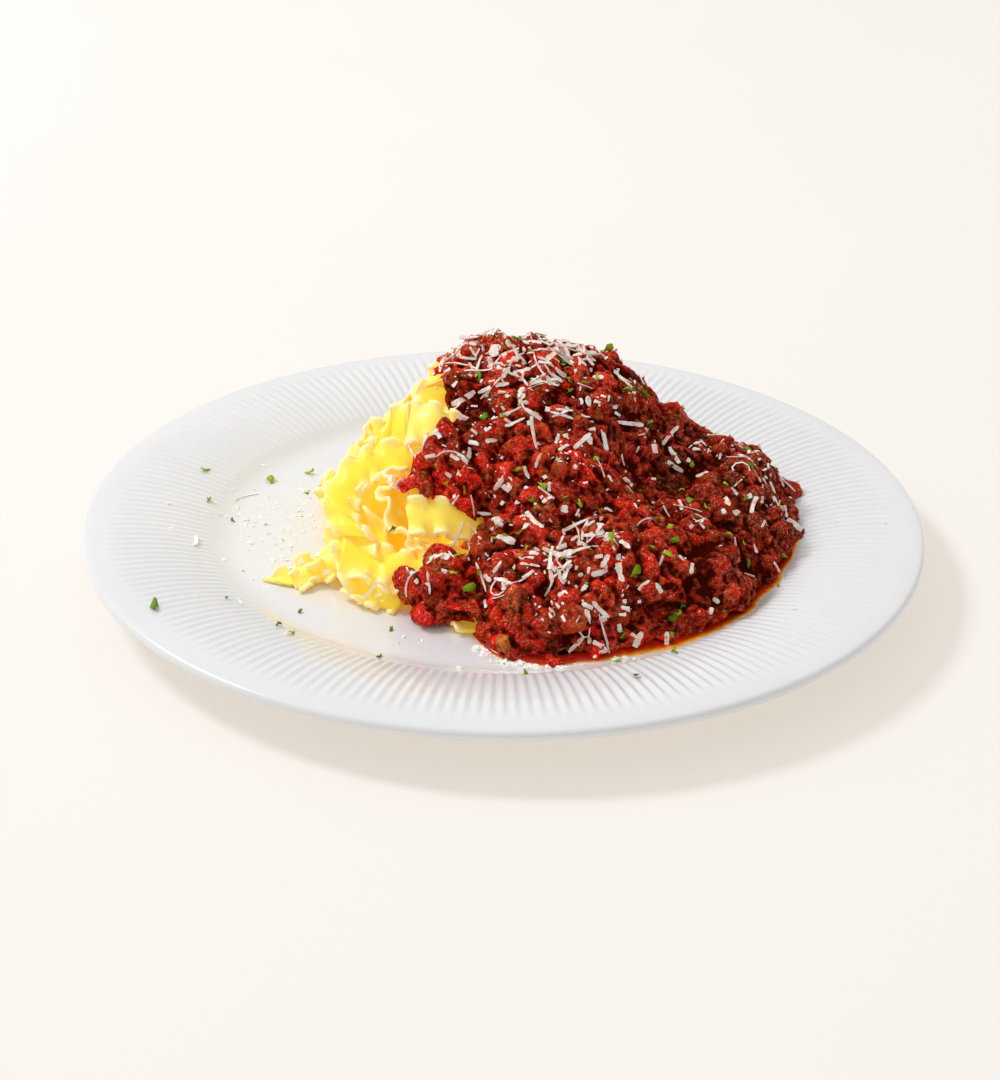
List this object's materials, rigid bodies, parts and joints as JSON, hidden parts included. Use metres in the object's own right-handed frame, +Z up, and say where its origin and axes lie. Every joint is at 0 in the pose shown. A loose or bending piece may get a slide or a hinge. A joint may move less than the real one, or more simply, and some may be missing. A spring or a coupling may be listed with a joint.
{
  "type": "mafaldine bolognese",
  "caption": "Plated pasta meal: ruffled ribbons heaped in the well of a wide, fluted porcelain plate, largely covered by a thick meat sauce, with grated cheese and parsley.",
  "frame": {"origin": "centre of the plate, at the underside of its foot ring", "axes": "+Z up; -Y towards the diner, who sees the bare pasta at the left; +X to the diner's right, where the sauce reaches the rim"},
  "size_m": [0.3, 0.3, 0.077],
  "materials": {
    "porcelain": "gloss",
    "pasta": "satin",
    "meat_sauce": "gloss",
    "grated_cheese": "satin",
    "parsley": "satin"
  },
  "bodies": {
    "root": {"plate": "porcelain", "mafaldine": "pasta", "bolognese": "meat_sauce"}
  },
  "joints": []
}
